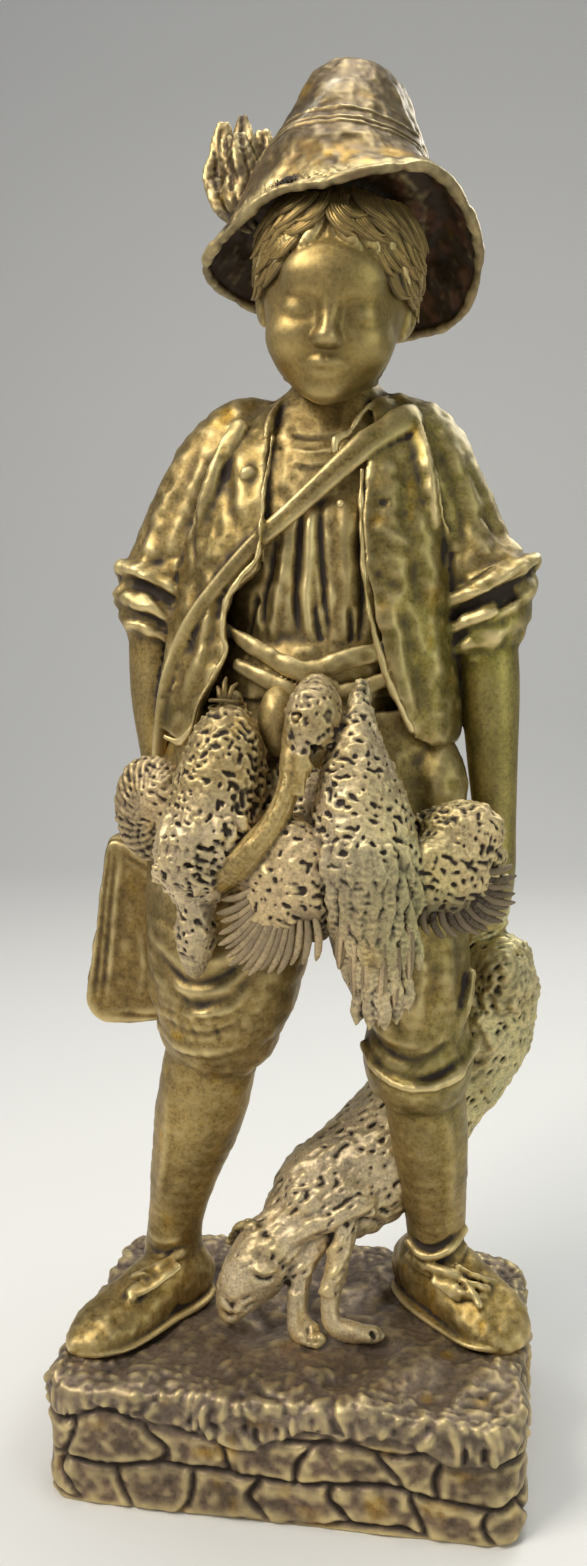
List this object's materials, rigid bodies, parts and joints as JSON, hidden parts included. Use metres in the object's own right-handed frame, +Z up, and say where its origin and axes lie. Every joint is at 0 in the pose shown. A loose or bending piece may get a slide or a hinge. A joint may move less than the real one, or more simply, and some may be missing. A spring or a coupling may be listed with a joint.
{
  "type": "spelter boy hunter statue",
  "caption": "Cast standing boy hunter in a felt hat, hung with game and holding a hare, on a low masonry plinth.",
  "frame": {"origin": "middle of the plinth's underside", "axes": "+Z up, the boy faces -Y, +X towards the boy's left hand, which is at the right seen from in front"},
  "size_m": [0.3474, 0.2379, 1.0015],
  "materials": {
    "figure": "gold-bronze paint over cast spelter, worn bright on the high places, dark in the hollows",
    "head_with_hat": "darker gold-bronze paint over cast spelter, ochre where it is rubbed",
    "plinth": "dull mauve-brown paint over cast spelter with worn pale metal on the ridges"
  },
  "bodies": {
    "root": {"figure": "figure", "head_with_hat": "head_with_hat", "plinth": "plinth"}
  },
  "joints": []
}
